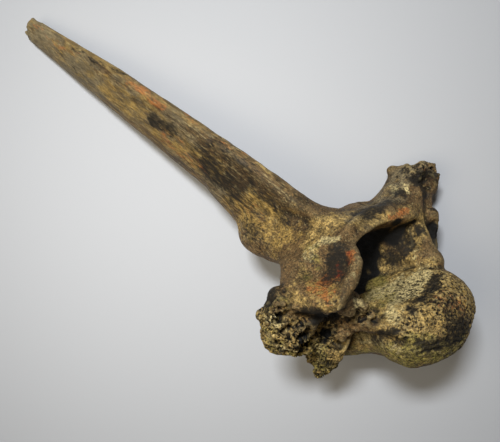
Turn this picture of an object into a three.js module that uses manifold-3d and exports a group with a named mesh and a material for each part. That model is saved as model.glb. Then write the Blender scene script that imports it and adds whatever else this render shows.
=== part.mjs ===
// Fossil elk vertebra: one of the first vertebrae behind the neck, broken, lying on its left side.
//
// Bone frame, in millimetres: +X towards the animal's head, +Y to its left, +Z up its back, with the origin
// in the middle of the round front joint. The bone is grown from rounded limbs and blobs blended into one
// surface, hollowed by others, roughened, turned into facets on a grid, laid down and cut flat where it touches.
import * as THREE from 'three';
import { mergeVertices } from 'three/addons/utils/BufferGeometryUtils.js';
import Module from 'manifold-3d';

// Driving dimensions
const bodyLength = 38;           // centrum, rear rim to the root of the head
const headWidth = 41.6;          // round front joint, side to side
const headHeight = 29.2;
const canalWidth = 30;           // neural canal
const canalHeight = 22;
const canalFloor = 13.5;         // canal floor above the middle of the body
const roofHeight = 40.5;         // middle of the canal roof
const spineTip = [-137.6, 1.5, 148.4];
const spineWidth = 28;           // widest, front edge to rear edge
const processReach = 43.6;       // left process, broken off here
const facetSize = 13.2;          // half length of a front joint plate
const bodyCell = 2.55;           // grid step over the body and over the spine
const spineCell = 3.6;
const facetLoss = 0.25;          // facets cut inside a round surface by about this, so it is grown by as much

// How it lies: the bone direction that points up, the one along +X, and the bone spot at the origin.
// The ground through that spot trims about 1 mm off the three places it rests on: tip, left process and
// rear rim.
const lieUp = [0.5482, -0.7823, 0.2958];
const lieForward = [1, 0, 0];
const lieSpot = [-73.7, 17.05, 60.02];

const canalMiddle = canalFloor + canalHeight / 2;
const headMiddle = [-0.9, 0.9, 1.6];

// Blending

const mix = (a, b, k, sign) => {
  const h = Math.min(Math.max(0.5 + sign * 0.5 * (b - a) / k, 0), 1);
  return b + (a - b) * h - sign * k * h * (1 - h);
};
const join = (a, b, k) => mix(a, b, k, 1);
const carve = (a, b, k) => mix(a, -b, k, -1);

const vector = (values) => new THREE.Vector3(...values);

function profileAt(profile, t) {
  const next = profile.findIndex(([at]) => at >= t);
  if (next <= 0) return profile[0].slice(1);
  const [t0, a0, b0] = profile[next - 1];
  const [t1, a1, b1] = profile[next];
  const s = (t - t0) / (t1 - t0);
  return [a0 + (a1 - a0) * s, b0 + (b1 - b0) * s];
}

// Nearly the distance to an ellipsoid of radii a, b, c
function ellipsoid(x, y, z, a, b, c) {
  const near = Math.hypot(x / a, y / b, z / c);
  const slope = Math.hypot(x / (a * a), y / (b * b), z / (c * c)) + 1e-6;
  return near * (near - 1) / slope;
}

// A tapered elliptic limb: profile rows are [place from 0 to 1, half width along side, half width across it]
function limb({ from, to, side, profile, cap, bow = 0, bowAlong = [0, 0, 0] }) {
  const start = vector(from);
  const axis = vector(to).sub(start);
  const length = axis.length();
  axis.normalize();
  const wide = vector(side);
  wide.addScaledVector(axis, -wide.dot(axis)).normalize();
  const thin = new THREE.Vector3().crossVectors(axis, wide);
  const bend = vector(bowAlong).multiplyScalar(4 * bow);
  const q = new THREE.Vector3();
  return (x, y, z) => {
    q.set(x, y, z).sub(start);
    const along = q.dot(axis);
    const t = Math.min(Math.max(along / length, 0), 1);
    q.addScaledVector(bend, -t * (1 - t));
    const [a, b] = profileAt(profile, t);
    return ellipsoid(q.dot(wide), q.dot(thin), along - t * length, a, b, cap);
  };
}

// An ellipsoid whose first and last radii lie along the directions ahead and up
function blob({ at, radii, ahead = [1, 0, 0], up = [0, 0, 1] }) {
  const centre = vector(at);
  const e1 = vector(ahead).normalize();
  const e3 = vector(up);
  e3.addScaledVector(e1, -e3.dot(e1)).normalize();
  const e2 = new THREE.Vector3().crossVectors(e3, e1);
  const q = new THREE.Vector3();
  return (x, y, z) => {
    q.set(x, y, z).sub(centre);
    return ellipsoid(q.dot(e1), q.dot(e2), q.dot(e3), ...radii);
  };
}

const grown = (shape, blend) => ({ shape, blend, step: join });
const hollowed = (shape, blend) => ({ shape, blend, step: carve });
const bothSides = (shape) => (x, y, z) => shape(x, Math.abs(y), z);

// The bone's own parts, in the order they are joined

const body = [
  grown(limb({
    from: [-bodyLength, 0, 0.5], to: [-1, 0, 0.5], side: [0, 1, 0], cap: 3,
    profile: [[0, 19, 12.5], [0.16, 16.5, 12.3], [0.5, 12.5, 12.2], [0.8, 15, 12.7], [1, 18.6, 13.6]],
  }), 1),
  grown(blob({ at: headMiddle, radii: [17.3, headWidth / 2, headHeight / 2], up: [0, -0.05, 1] }), 4),
  grown(limb({   // shelf under the canal
    from: [-34, 0, canalFloor - 4.5], to: [-3, 0, canalFloor - 4], side: [0, 1, 0], cap: 3,
    profile: [[0, 17, 4], [1, 18, 4]],
  }), 3),
  grown(limb({   // keel
    from: [-34, 0, -10.5], to: [-8, -2, -12], side: [0, 1, 0], cap: 3,
    profile: [[0, 2.5, 3.5], [1, 3.5, 3.2]],
  }), 4),
  grown(bothSides(blob({ at: [-33, 16.5, 6], radii: [7, 6, 8] })), 4),   // rear rib seats
];

const arch = [
  grown(bothSides(limb({
    from: [-20, 17.5, canalFloor - 0.5], to: [-19.5, 21.5, 32.5], side: [1, 0, 0], cap: 3,
    profile: [[0, 13, 4], [1, 10.5, 4.5]],
  })), 4),
  grown(limb({   // the left wall runs further back
    from: [-22, 17.5, canalFloor - 0.5], to: [-23, 21.5, 33], side: [1, 0, 0], cap: 3,
    profile: [[0, 14, 4.2], [1, 14, 4.5]],
  }), 4),
  grown(bothSides(limb({   // roof
    from: [-30.5, 0, roofHeight], to: [-18, 24.5, 33], side: [1, 0, 0], cap: 4,
    profile: [[0, 16, 4.6], [1, 11.5, 4.2]],
  })), 6),
  grown(limb({   // thin lip along the front of the roof
    from: [-13.2, -5, 37.2], to: [-9.6, 13, 34.9], side: [1, -0.2, 0], cap: 2,
    profile: [[0, 4.2, 1.5], [1, 4.2, 1.5]],
  }), 5),
];

const plateTilt = { ahead: [1, 0, -0.14], up: [0.16, 0.36, 0.92] };
const frontPlates = [
  grown(bothSides(blob({ at: [-16, 21.5, 32.6], radii: [facetSize, 14.2, 4.4], ...plateTilt })), 3),
];
const frontDishes = [
  hollowed(bothSides(blob({ at: [-12.6, 24.6, 37.8], radii: [12.4, 12, 5.6], ...plateTilt })), 1.2),
];

const spine = [
  grown(limb({
    from: [-27.7, 0, 29.2], to: spineTip, side: [1, 0, 1], cap: 1.2, bow: 1.3, bowAlong: [0.7, 0, 0.72],
    profile: [
      [0, 12.5, 6.5], [0.12, spineWidth / 2, 6], [0.25, 13.4, 5.2],
      [0.42, 12.2, 4.7], [0.7, 9.8, 4], [1, 5.4, 3.1],
    ],
  }), 7),
  grown(limb({   // heel, where the rear edge flares
    from: [-53, -2, 43], to: [-65, 0, 62], side: [1, 0, 1], cap: 5, profile: [[0, 7.5, 4.5], [1, 5, 3.8]],
  }), 6),
  grown(bothSides(blob({   // rear joints
    at: [-47.5, 7.5, 40.3], radii: [12.5, 6.8, 6.6], ahead: [1, 0, -0.4],
  })), 7),
];

const leftSide = [
  grown(limb({   // process, broken off square
    from: [-14.5, 25, 31], to: [-11, processReach, 37.6], side: [1, 0, 0], cap: 1.2,
    profile: [[0, 10, 6.2], [0.6, 9.7, 6], [1, 11, 5.8]],
  }), 3),
  grown(blob({ at: [-22, 29, 24], radii: [10, 6.7, 8.8] }), 5),   // its root
  grown(limb({   // front edge of the wall
    from: [-0.5, 18.8, 12.5], to: [-9, 27.5, 29.5], side: [1, 0, 0], cap: 3,
    profile: [[0, 3.5, 3], [1, 4, 2.8]],
  }), 3),
  grown(limb({   // thin outer edge of the rib seat
    from: [-7, 25, 11], to: [-5.2, 32.4, 25.6], side: [1, 0, 0], cap: 3,
    profile: [[0, 5, 2.4], [0.5, 5.8, 2.2], [1, 5.2, 2.6]],
  }), 3),
];

const rightSide = [
  grown(limb({   // stub of the process
    from: [-23, -24, 26], to: [-31, -36, 21], side: [1, 0, 0.2], cap: 3, profile: [[0, 9, 8], [1, 8, 9.5]],
  }), 5),
  grown(blob({ at: [-36.5, -33.5, 16], radii: [6, 5, 7.5], up: [0.3, 0, 1] }), 3),   // shell under the stub
  grown(blob({ at: [-28.5, -32.2, 29], radii: [4.6, 4, 4] }), 1.6),   // knob left behind it
  grown(limb({   // thin rim left along its top
    from: [-34.5, -37, 26.4], to: [-24.5, -37.6, 31.6], side: [0, 1, 0], cap: 2,
    profile: [[0, 2, 1.6], [1, 2, 1.4]],
  }), 2.5),
  grown(blob({ at: [-32.5, -26, 12], radii: [6.5, 8, 8] }), 4),   // web down to the body
  grown(blob({ at: [-35.5, -17.5, -1], radii: [6, 5.5, 10.5] }), 3),   // worn rear rim
  grown(limb({   // edge of broken bone from the wall down to that rim
    from: [-17.5, -20.5, 10.5], to: [-35.5, -22, -8], side: [0, 1, 0], cap: 2,
    profile: [[0, 3, 3], [0.5, 4, 4.5], [1, 2.6, 2.6]],
  }), 2.5),
  grown(limb({   // flange under the joint plate
    from: [-9.6, -24, 24], to: [-9.8, -31.6, 24.8], side: [1, 0, 0], cap: 2.4,
    profile: [[0, 3.5, 4.5], [1, 3.2, 2.8]],
  }), 2),
];

const hollows = [
  hollowed(limb({   // neural canal
    from: [-75, 0, canalMiddle], to: [30, 0, canalMiddle], side: [0, 1, 0], cap: 3,
    profile: [[0, canalWidth / 2, canalHeight / 2], [1, canalWidth / 2, canalHeight / 2]],
  }), 3),
  hollowed(blob({ at: [1.5, 0, canalMiddle + 0.5], radii: [17, 19.3, 12.3] }), 3),   // its flared mouth
  hollowed(blob({ at: [-56, 0, -1], radii: [21, 24, 22] }), 2),   // rear joint cup
  hollowed(blob({   // left rib seat
    at: [-1, 26.8, 17.8], radii: [4.4, 2, 6.8], up: [0.1, 0.45, 0.89],
  }), 1.2),
  hollowed(blob({   // hollow in the broken end of the left process
    at: [0, 37.4, 38.8], radii: [7.4, 3.6, 4.2], ahead: [0.2, 0.9, 0.37],
  }), 1),
  hollowed(limb({   // gap where bone is lost under the right joint plate
    from: [-25, -38, 27.5], to: [-10, -29, 19.5], side: [1, 0, 0], cap: 3,
    profile: [[0, 2, 1.6], [0.5, 4, 2.2], [1, 3, 2]],
  }), 1.2),
  hollowed(limb({   // cleft between the two broken lobes
    from: [-27, -33, 13], to: [-21, -22, 5], side: [1, 0, 0], cap: 2, profile: [[0, 3, 1.8], [1, 3, 1.8]],
  }), 1.2),
];

const parts = [
  ...body, ...arch, ...frontPlates, ...spine, ...frontDishes, ...leftSide, ...rightSide, ...hollows,
];

// Roughness: even, slow waves all over, and coarse lumps where the bone is broken

const brokenPlaces = [
  { at: [-31, -36, 19], reach: 13, height: 1.1, wave: 6.5 },   // stub of the right process
  { at: [-34, -21, -3], reach: 12, height: 0.9, wave: 6 },     // worn rear rim
  { at: [-11, -20, 17], reach: 8, height: 0.9, wave: 4.2 },    // front edge of the right wall
  { at: [-8, 46, 39], reach: 8, height: 1, wave: 6 },          // end of the left process
  { at: [-139, 1.5, 150], reach: 8, height: 0.9, wave: 6 },    // tip of the spine
];

// Three sines, each bent by the next, that run from -1 to 1 with lumps about one wave across
function ripple(x, y, z, wave, shift) {
  const k = 2 * Math.PI / wave;
  const a = k * (0.8 * x + 0.36 * y - 0.48 * z) + shift;
  const b = k * (-0.6 * x + 0.48 * y - 0.64 * z) + 2.1 * shift + 1;
  const c = k * (0.8 * y + 0.6 * z) + 3.3 * shift + 2;
  const bent = (u, v) => Math.sin(u + 1.3 * Math.sin(v));
  return (bent(a, b) + bent(b, c) + bent(c, a)) / 3;
}

function boneField(x, y, z) {
  let field = parts.reduce((sum, { shape, blend, step }) => step(sum, shape(x, y, z), blend), 1e3);
  field += 0.32 * ripple(x, y, z, 17, 0) + 0.13 * ripple(x, y, z, 8, 1);
  for (const { at, reach, height, wave } of brokenPlaces) {
    const away = Math.hypot(x - at[0], y - at[1], z - at[2]);
    const share = Math.min(Math.max(1.5 - away / reach, 0), 1);
    if (share > 0) field += height * share * ripple(x, y, z, wave, 3);
  }
  return field - facetLoss;
}

// Facets: a grid, one corner in every cell that the surface crosses, one square facet over every crossed edge

const cornerSteps = [0, 1, 2, 3, 4, 5, 6, 7].map((n) => [n & 1, (n >> 1) & 1, (n >> 2) & 1]);

function gridLines(...stretches) {
  const lines = [stretches[0].from];
  for (const { to, step } of stretches) {
    while (lines.at(-1) < to) lines.push(lines.at(-1) + step);
  }
  return lines;
}

// A cell is doubtful where its inner or its outer corners fall into two groups: two sheets would share a
// facet corner
function isDoubtful(inside) {
  for (const wanted of [true, false]) {
    const group = [0, 1, 2, 3, 4, 5, 6, 7].filter((n) => inside[n] === wanted);
    const reached = new Set(group.slice(0, 1));
    for (const n of reached) {
      for (const m of [n ^ 1, n ^ 2, n ^ 4]) if (inside[m] === wanted) reached.add(m);
    }
    if (reached.size < group.length) return true;
  }
  return false;
}

function facet(field, xs, ys, zs) {
  const size = [xs.length, ys.length, zs.length];
  const index = (i, j, k) => (i * size[1] + j) * size[2] + k;
  const values = new Float64Array(size[0] * size[1] * size[2]);
  xs.forEach((x, i) => ys.forEach((y, j) => zs.forEach((z, k) => {
    values[index(i, j, k)] = field(x, y, z);
  })));

  const eachCell = (visit) => {
    for (let i = 0; i < size[0] - 1; i++) {
      for (let j = 0; j < size[1] - 1; j++) {
        for (let k = 0; k < size[2] - 1; k++) {
          const corners = cornerSteps.map(([a, b, c]) => index(i + a, j + b, k + c));
          const inside = corners.map((n) => values[n] < 0);
          if (inside.includes(true) && inside.includes(false)) visit(i, j, k, corners, inside);
        }
      }
    }
  };

  // Fill doubtful cells at the outer corner that is nearest to the surface, until none is left
  for (let doubtful = true; doubtful;) {
    doubtful = false;
    eachCell((i, j, k, corners, inside) => {
      if (!isDoubtful(inside)) return;
      doubtful = true;
      const outer = corners.filter((n) => values[n] >= 0);
      values[outer.reduce((best, n) => (values[n] < values[best] ? n : best))] = -0.05;
    });
  }

  const positions = [];
  const cornerOf = new Map();
  eachCell((i, j, k, corners, inside) => {
    const sum = new THREE.Vector3();
    let count = 0;
    for (let n = 0; n < 8; n++) {
      for (const bit of [1, 2, 4]) {
        const m = n | bit;
        if (m === n || inside[n] === inside[m]) continue;
        const t = values[corners[n]] / (values[corners[n]] - values[corners[m]]);
        const [a, b, c] = cornerSteps[n];
        const [d, e, f] = cornerSteps[m];
        sum.x += xs[i + a] + t * (xs[i + d] - xs[i + a]);
        sum.y += ys[j + b] + t * (ys[j + e] - ys[j + b]);
        sum.z += zs[k + c] + t * (zs[k + f] - zs[k + c]);
        count += 1;
      }
    }
    cornerOf.set(index(i, j, k), positions.length / 3);
    positions.push(...sum.divideScalar(count).toArray());
  });

  const point = (n) => new THREE.Vector3().fromArray(positions, 3 * n);
  const triangles = [];
  const unit = [[1, 0, 0], [0, 1, 0], [0, 0, 1]];
  for (let i = 1; i < size[0] - 1; i++) {
    for (let j = 1; j < size[1] - 1; j++) {
      for (let k = 1; k < size[2] - 1; k++) {
        const inside = values[index(i, j, k)] < 0;
        for (let along = 0; along < 3; along++) {
          const [a, b, c] = unit[along];
          if (values[index(i + a, j + b, k + c)] < 0 === inside) continue;
          const [d, e, f] = unit[(along + 1) % 3];
          const [g, h, l] = unit[(along + 2) % 3];
          const ring = [
            cornerOf.get(index(i - d - g, j - e - h, k - f - l)),
            cornerOf.get(index(i - g, j - h, k - l)),
            cornerOf.get(index(i, j, k)),
            cornerOf.get(index(i - d, j - e, k - f)),
          ];
          if (!inside) ring.reverse();
          const [p, q, r, s] = ring;
          const shortWay = point(p).distanceTo(point(r)) < point(q).distanceTo(point(s));
          triangles.push(...(shortWay ? [p, q, r, p, r, s] : [p, q, s, q, r, s]));
        }
      }
    }
  }
  const geometry = new THREE.BufferGeometry();
  geometry.setAttribute('position', new THREE.Float32BufferAttribute(positions, 3));
  geometry.setIndex(triangles);
  return geometry;
}

// Laying down

function lyingMatrix() {
  const up = vector(lieUp).normalize();
  const forward = vector(lieForward);
  forward.addScaledVector(up, -forward.dot(up)).normalize();
  const left = new THREE.Vector3().crossVectors(up, forward);
  const turn = new THREE.Matrix4().makeBasis(forward, left, up).transpose();
  return turn.multiply(new THREE.Matrix4().makeTranslation(...vector(lieSpot).negate().toArray()));
}

function cutFlat(geometry, wasm) {
  const solid = (shape) => {
    for (const name of ['normal', 'uv']) shape.deleteAttribute(name);
    const merged = mergeVertices(shape, 1e-4);
    return new wasm.Manifold(new wasm.Mesh({
      numProp: 3,
      vertProperties: new Float32Array(merged.attributes.position.array),
      triVerts: new Uint32Array(merged.index.array),
    }));
  };
  const thick = 20;
  const ground = new THREE.BoxGeometry(600, 600, thick).translate(0, 0, -thick / 2);
  const cut = solid(geometry).subtract(solid(ground)).getMesh();
  const result = new THREE.BufferGeometry();
  result.setAttribute('position', new THREE.Float32BufferAttribute(cut.vertProperties, 3));
  result.setIndex([...cut.triVerts]);
  return result;
}

const wasm = await Module();
wasm.setup();

const bone = facet(
  boneField,
  gridLines({ from: -149, to: -62, step: spineCell }, { to: 22, step: bodyCell }),
  gridLines({ from: -50, to: 54, step: bodyCell }),
  gridLines({ from: -24, to: 62, step: bodyCell }, { to: 160, step: spineCell }),
);
bone.applyMatrix4(lyingMatrix());

const fossil = new THREE.MeshStandardMaterial({ color: 0x7d6a4a, roughness: 0.8, metalness: 0 });
const vertebra = new THREE.Mesh(cutFlat(bone, wasm), fossil);
vertebra.name = 'vertebra';

const group = new THREE.Group();
group.add(vertebra);

export default group;
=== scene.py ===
import bpy
import numpy as np
from mathutils import Matrix, Vector


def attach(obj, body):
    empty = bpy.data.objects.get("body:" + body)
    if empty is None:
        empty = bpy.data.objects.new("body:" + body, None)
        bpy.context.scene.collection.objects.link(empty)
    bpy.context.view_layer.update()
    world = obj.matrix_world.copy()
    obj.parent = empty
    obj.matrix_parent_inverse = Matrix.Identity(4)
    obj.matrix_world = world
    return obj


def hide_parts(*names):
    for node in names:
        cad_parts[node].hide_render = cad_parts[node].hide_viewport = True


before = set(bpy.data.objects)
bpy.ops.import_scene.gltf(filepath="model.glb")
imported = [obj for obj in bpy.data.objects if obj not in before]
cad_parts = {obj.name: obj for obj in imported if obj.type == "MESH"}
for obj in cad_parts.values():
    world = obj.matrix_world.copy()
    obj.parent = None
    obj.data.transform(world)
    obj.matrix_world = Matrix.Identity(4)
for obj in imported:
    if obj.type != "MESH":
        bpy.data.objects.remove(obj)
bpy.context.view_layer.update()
print("frame loaded")

mm = 0.001


# Numbers without a pattern

def smooth(low, high, value):
    # 0 at low, 1 at high, with a soft start and end
    share = np.clip((value - low) / (high - low), 0, 1)
    return share * share * (3 - 2 * share)


def scatter(cells, salt):
    # one number from 0 to 1 for each whole-number cell, always the same for the same cell and salt
    x, y, z = (cells[..., k].astype(np.int64) for k in range(3))
    mixed = (x * 374761393 + y * 668265263 + z * 1440662683 + salt * 97531) & 0xFFFFFFFF
    mixed = ((mixed ^ (mixed >> 13)) * 1274126177) & 0xFFFFFFFF
    return ((mixed ^ (mixed >> 16)) & 0xFFFFFF) / 0xFFFFFF


def noise(points, size, salt, octaves=1):
    # random values at the corners of cubes of the given size, blended smoothly between them, from -1 to 1
    total = np.zeros(len(points))
    reach = 0.0
    for octave in range(octaves):
        place = points * (2 ** octave) / size
        cell = np.floor(place)
        part = smooth(0, 1, place - cell)
        weight = 0.5 ** octave
        for corner in np.ndindex(2, 2, 2):
            share = np.prod(np.where(corner, part, 1 - part), axis=-1)
            total += weight * share * (2 * scatter(cell + corner, salt + octave) - 1)
        reach += weight
    return total / reach


def warped(points, size, amount, salt):
    # points pushed about by noise in all three directions
    return points + amount * np.stack([noise(points, size, salt + 7 * k) for k in range(3)], -1)


def cellWalls(points, size, salt):
    # one random spot in each cube: how far the nearest two are, in cubes, and the nearest one's own number
    place = points / size
    cell = np.floor(place)
    first = np.full(len(points), 9.0)
    second = first.copy()
    owner = np.zeros(len(points))
    for step in np.ndindex(3, 3, 3):
        here = cell + step - 1
        spot = here + np.stack([scatter(here, salt + k) for k in range(3)], -1)
        away = np.linalg.norm(spot - place, axis=-1)
        closer = away < first
        second = np.where(closer, first, np.minimum(second, away))
        owner = np.where(closer, scatter(here, salt + 3), owner)
        first = np.minimum(first, away)
    return first, second, owner


# The bone's form

bone = {
    "bodyLength": 38.0,
    "headSize": (17.3, 20.8, 14.6),
    "canalHalf": (15.0, 11.0),
    "canalMiddle": 24.5,
    "roofHeight": 40.5,
    "spineStart": (-27.7, 0, 29.2),
    "spineTip": (-137.6, 1.5, 148.4),
    "spineBow": 1.3,
    "plateTilt": {"ahead": (1, 0, -0.14), "up": (0.16, 0.36, 0.92)},
    "lieUp": (0.5482, -0.7823, 0.2958),      # the direction that points up as it lies
    "lieForward": (1, 0, 0),
    "lieSpot": (-73.7, 17.05, 60.02),        # the spot at the origin, on the ground
    "waves": [(.32, 17, 0), (.13, 8, 1)],    # height, length and shift of the low waves all over it
    "wavesFade": (-45, -65, .7),             # where they fade up the spine, and how much of them goes
}


def unit(values):
    values = np.array(values, float)
    return values / np.linalg.norm(values)


def squareTo(values, axis):
    # the part of a direction that is square to the axis
    return unit(np.array(values, float) - axis * np.dot(values, axis))


def ellipsoid(x, y, z, a, b, c):
    # nearly the distance to an ellipsoid of radii a, b, c
    near = np.sqrt((x / a) ** 2 + (y / b) ** 2 + (z / c) ** 2)
    slope = np.sqrt((x / (a * a)) ** 2 + (y / (b * b)) ** 2 + (z / (c * c)) ** 2) + 1e-6
    return near * (near - 1) / slope


def limb(p, start, end, profile, places=None, side=(1, 0, 0), cap=3, bow=0.0, bowAlong=(0, 0, 0)):
    # a tapered elliptic limb: profile holds its half widths along side and across it, at places from 0 to 1
    # or evenly spaced; cap is how far its round ends reach, bow how far its middle bends along bowAlong
    start = np.array(start, float)
    run = np.array(end, float) - start
    length = np.linalg.norm(run)
    axis = unit(run)
    wide = squareTo(side, axis)
    thin = np.cross(axis, wide)
    q = (p - start).astype(np.float32)
    along = q @ axis
    t = np.clip(along / length, 0, 1)
    if bow:
        q = q - (4 * bow * t * (1 - t))[..., None] * np.array(bowAlong, np.float32)
    places = np.linspace(0, 1, len(profile)) if places is None else places
    a, b = (np.interp(t, places, widths) for widths in np.array(profile, float).T)
    return ellipsoid(q @ wide, q @ thin, along - t * length, a, b, cap)


def blob(p, at, radii, ahead=(1, 0, 0), up=(0, 0, 1)):
    # an ellipsoid whose first and last radii lie along ahead and up
    e1 = unit(ahead)
    e3 = squareTo(up, e1)
    q = p - np.array(at, float)
    return ellipsoid(q @ e1, q @ np.cross(e3, e1), q @ e3, *radii)


def step(way, twice=False):
    # writes one row of parts: a shape and the width of its blend, then a limb's two ends and its profile, or
    # a blob's middle and its radii
    def row(shape, width, *places, **turns):
        return shape, way, width, twice, places, turns
    return row


grow, carve = step(1), step(-1)
growBoth, carveBoth = step(1, twice=True), step(-1, twice=True)      # on the left and on the right

boneParts = [
    # body
    grow(limb, 1, (-bone["bodyLength"], 0, 0.5), (-1, 0, 0.5),
        [(19, 12.5), (16.5, 12.3), (12.5, 12.2), (15, 12.7), (18.6, 13.6)], places=(0, .16, .5, .8, 1),
        side=(0, 1, 0)),
    grow(blob, 4, (-.9, .9, 1.6), bone["headSize"], up=(0, -.05, 1)),
    grow(limb, 3, (-34, 0, 9), (-3, 0, 9.5), [(17, 4), (18, 4)], side=(0, 1, 0)),
    grow(limb, 4, (-34, 0, -10.5), (-8, -2, -12), [(2.5, 3.5), (3.5, 3.2)], side=(0, 1, 0)),
    growBoth(blob, 4, (-33, 16.5, 6), (7, 6, 8)),
    # arch: walls and roof
    growBoth(limb, 4, (-20, 17.5, 13), (-19.5, 21.5, 32.5), [(13, 4), (10.5, 4.5)]),
    grow(limb, 4, (-22, 17.5, 13), (-23, 21.5, 33), [(14, 4.2), (14, 4.5)]),
    growBoth(limb, 6, (-30.5, 0, bone["roofHeight"]), (-18, 24.5, 33), [(16, 4.6), (11.5, 4.2)], cap=4),
    grow(limb, 5, (-13.2, -5, 37.2), (-9.6, 13, 34.9), [(4.2, 1.5), (4.2, 1.5)], side=(1, -.2, 0), cap=2),
    growBoth(blob, 2, (-16, 21.5, 32.6), (13.2, 14.2, 4.4), **bone["plateTilt"]),
    # spine, its heel and the rear joints
    grow(limb, 7, bone["spineStart"], bone["spineTip"],
        [(12.5, 6.5), (14, 6), (13.4, 5.2), (12.2, 4.7), (9.8, 4), (5.4, 3.1)],
        places=(0, .12, .25, .42, .7, 1), side=(1, 0, 1), cap=1.2, bow=bone["spineBow"],
        bowAlong=(.7, 0, .72)),
    grow(limb, 6, (-53, -2, 43), (-65, 0, 62), [(7.5, 4.5), (5, 3.8)], side=(1, 0, 1), cap=5),
    growBoth(blob, 7, (-47.5, 7.5, 40.3), (12.5, 6.8, 6.6), ahead=(1, 0, -.4)),
    # dishes of the front joints
    carveBoth(blob, .8, (-12.6, 24.6, 37.8), (12.4, 12, 5.6), **bone["plateTilt"]),
    # left side: process, its root, front edge of the wall, outer edge of the rib seat
    grow(limb, 3, (-14.5, 25, 31), (-11, 43.6, 37.6),
        [(10, 6.2), (9.7, 6), (11, 5.8)], places=(0, .6, 1), cap=1.2),
    grow(blob, 5, (-22, 29, 24), (10, 6.7, 8.8)),
    grow(limb, 3, (-.5, 18.8, 12.5), (-9, 27.5, 29.5), [(3.5, 3), (4, 2.8)]),
    grow(limb, 3, (-7, 25, 11), (-5.2, 32.4, 25.6), [(5, 2.4), (5.8, 2.2), (5.2, 2.6)]),
    # right side: stub of the process, shell under it, knob on it, web, worn rear rim, flange under the joint
    grow(limb, 5, (-23, -24, 26), (-31, -36, 21), [(9, 8), (8, 9.5)], side=(1, 0, .2)),
    grow(blob, 3, (-36.5, -33.5, 16), (6, 5, 7.5), up=(.3, 0, 1)),
    grow(blob, 1.5, (-29.6, -31, 30.6), (4.8, 4, 4.2)),
    grow(limb, 2.5, (-34.5, -37, 26.4), (-24.5, -37.6, 31.6), [(2, 1.6), (2, 1.4)], side=(0, 1, 0), cap=2),
    grow(blob, 4, (-32.5, -26, 12), (6.5, 8, 8)),
    grow(blob, 3, (-35.5, -17.5, -1), (6, 5.5, 10.5)),
    grow(limb, 2.5, (-17.5, -20.5, 10.5), (-35.5, -22, -8),
        [(3, 3), (4, 4.5), (2.6, 2.6)], side=(0, 1, 0), cap=2),
    grow(blob, 2, (-9, -25, 24.5), (3.5, 4, 5)),
    grow(blob, 2, (-10.5, -28, 27.6), (5.4, 5.2, 2.2), ahead=(1, 0, -.14), up=(.16, -.36, .92)),
    # hollows: canal, its mouth, rear cup, left rib seat, gap under the right joint, cleft between the lobes
    carve(limb, 3, (-75, 0, bone["canalMiddle"]), (30, 0, bone["canalMiddle"]),
        [bone["canalHalf"], bone["canalHalf"]], side=(0, 1, 0)),
    carve(blob, 3, (1.5, 0, 25), (17, 19.3, 12.3)),
    carve(blob, 2, (-56, 0, -1), (21, 24, 22)),
    carve(blob, 1.2, (-1, 26.8, 17.8), (4.4, 2, 6.8), up=(.1, .45, .89)),
    carve(blob, 1, (0, 37.4, 38.8), (7.4, 3.6, 4.2), ahead=(.2, .9, .37)),
    carve(limb, 1.2, (-25, -38, 27.5), (-10, -29, 19.5), [(2, 1.6), (4, 2.2), (3, 2)]),
    carve(limb, 1.2, (-27, -33, 13), (-21, -22, 5), [(3, 1.8), (3, 1.8)], cap=2),
]

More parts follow.
